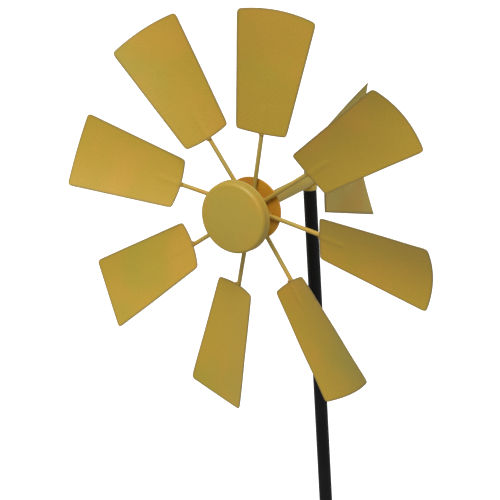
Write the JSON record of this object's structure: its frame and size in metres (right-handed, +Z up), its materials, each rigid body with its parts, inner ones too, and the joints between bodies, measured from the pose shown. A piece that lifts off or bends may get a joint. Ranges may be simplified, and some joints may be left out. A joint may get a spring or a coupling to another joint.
{
  "type": "wind spinner",
  "caption": "Garden wind spinner: pitched sheet-metal wheel and forked tail vane on a boom that swivels on a slim sectional pole with a ground spike.",
  "frame": {"origin": "where the pole's axis meets the ground, at the underside of the foot bar", "axes": "+Z up along the pole, -Y forwards from the pole to the wheel at rest, +X across, to the right seen from the front"},
  "size_m": [0.3726, 0.2643, 1.6014],
  "materials": {
    "blade_paint": "satin enamel over sheet steel, slightly uneven",
    "spoke_paint": "satin enamel over sheet steel, slightly uneven",
    "hub_paint": "satin enamel over sheet steel, slightly uneven",
    "cap_paint": "satin enamel over sheet steel, slightly uneven",
    "boom_paint": "satin enamel over sheet steel, slightly uneven",
    "tail_paint": "satin enamel over sheet steel, slightly uneven",
    "black_nylon": "moulded black nylon",
    "zinc_plated": "zinc plated, dull",
    "bare_steel": "bare turned steel",
    "pole_paint": "semi-matt black paint with soft uneven sheen",
    "spike_paint": "semi-matt black paint, scuffed"
  },
  "bodies": {
    "mast": {"swivel_pin": "zinc_plated", "pin_washer": "zinc_plated", "pin_nut": "zinc_plated", "pole_plug": "bare_steel", "pole_top_section": "pole_paint", "pole_section_1": "pole_paint", "pole_section_2": "pole_paint", "pole_section_3": "pole_paint", "pole_spigot_1": "bare_steel", "pole_spigot_2": "bare_steel", "pole_spigot_3": "bare_steel", "ground_spike": "spike_paint", "prong_left": "spike_paint", "prong_right": "spike_paint", "foot_bar": "spike_paint"},
    "head": {"axle": "zinc_plated", "axle_plug": "bare_steel", "axle_spacer": "zinc_plated", "axle_washer": "zinc_plated", "axle_nut": "zinc_plated", "boom_tube": "boom_paint", "tail_vane": "tail_paint", "swivel_tube": "boom_paint", "swivel_collar": "boom_paint", "swivel_bush": "black_nylon"},
    "wheel": {"blade_1": "blade_paint", "blade_2": "blade_paint", "blade_3": "blade_paint", "blade_4": "blade_paint", "blade_5": "blade_paint", "blade_6": "blade_paint", "blade_7": "blade_paint", "blade_8": "blade_paint", "spoke_1": "spoke_paint", "spoke_2": "spoke_paint", "spoke_3": "spoke_paint", "spoke_4": "spoke_paint", "spoke_5": "spoke_paint", "spoke_6": "spoke_paint", "spoke_7": "spoke_paint", "spoke_8": "spoke_paint", "hub_disc": "hub_paint", "hub_barrel": "hub_paint", "hub_bush_front": "black_nylon", "hub_bush_rear": "black_nylon", "nose_cap": "cap_paint", "cap_collar": "cap_paint"}
  },
  "joints": [
    {"name": "head_swivel", "type": "hinge", "parent": "mast", "child": "head", "pos_m": [0, 0, 1.1951], "axis": [0, 0, 1], "continuous": true},
    {"name": "wheel_spin", "type": "hinge", "parent": "head", "child": "wheel", "pos_m": [0, -0.1055, 1.1951], "axis": [0, 1, 0], "continuous": true}
  ]
}
